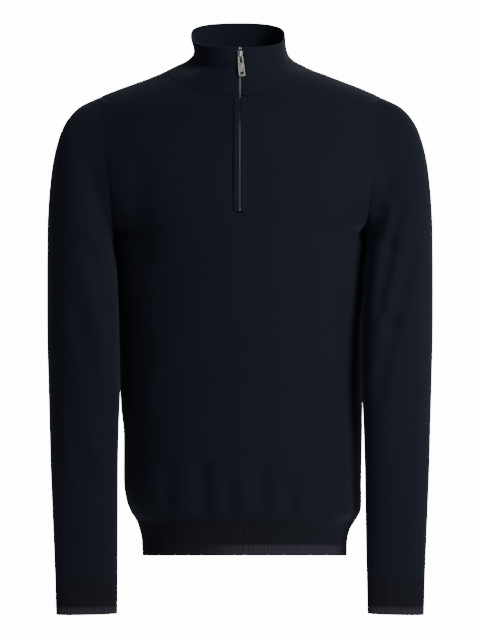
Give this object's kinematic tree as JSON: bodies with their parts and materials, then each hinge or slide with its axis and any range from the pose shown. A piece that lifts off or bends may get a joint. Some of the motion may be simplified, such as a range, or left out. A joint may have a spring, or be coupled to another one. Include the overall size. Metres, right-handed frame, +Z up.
{
  "type": "quarter zip sweater",
  "caption": "Fine knit quarter zip sweater with a stand collar, rib hem and cuffs, filled out as worn, with a hanging zip pull tab.",
  "frame": {"origin": "level with the neck points of the shoulder seams, midway between them, where the wearer's shoulders hold the garment", "axes": "+Z up, -Y is the front, +X is the picture's right"},
  "size_m": [0.519, 0.2608, 0.804],
  "materials": {
    "fine_knit": "matte",
    "rib_knit": "matte",
    "zip_tape": "matte",
    "zip_metal": "satin"
  },
  "bodies": {
    "garment": {"front_panel": "fine_knit", "back_panel": "fine_knit", "sleeve_right": "fine_knit", "sleeve_left": "fine_knit", "collar": "fine_knit", "zip_band_left": "fine_knit", "zip_band_right": "fine_knit", "hem_rib_front": "rib_knit", "hem_rib_back": "rib_knit", "cuff_rib_right": "rib_knit", "cuff_rib_left": "rib_knit", "zip_tape_left": "zip_tape", "zip_tape_right": "zip_tape", "zip_chain": "zip_metal", "zip_slider": "zip_metal"},
    "pull_tab": {"pull_tab": "zip_metal"}
  },
  "joints": [
    {"name": "pull_tab_hinge", "type": "hinge", "parent": "garment", "child": "pull_tab", "pos_m": [0, -0.08338, 0.01223], "axis": [-0.9945, 0, -0.1045], "range_deg": [0, 165]}
  ]
}
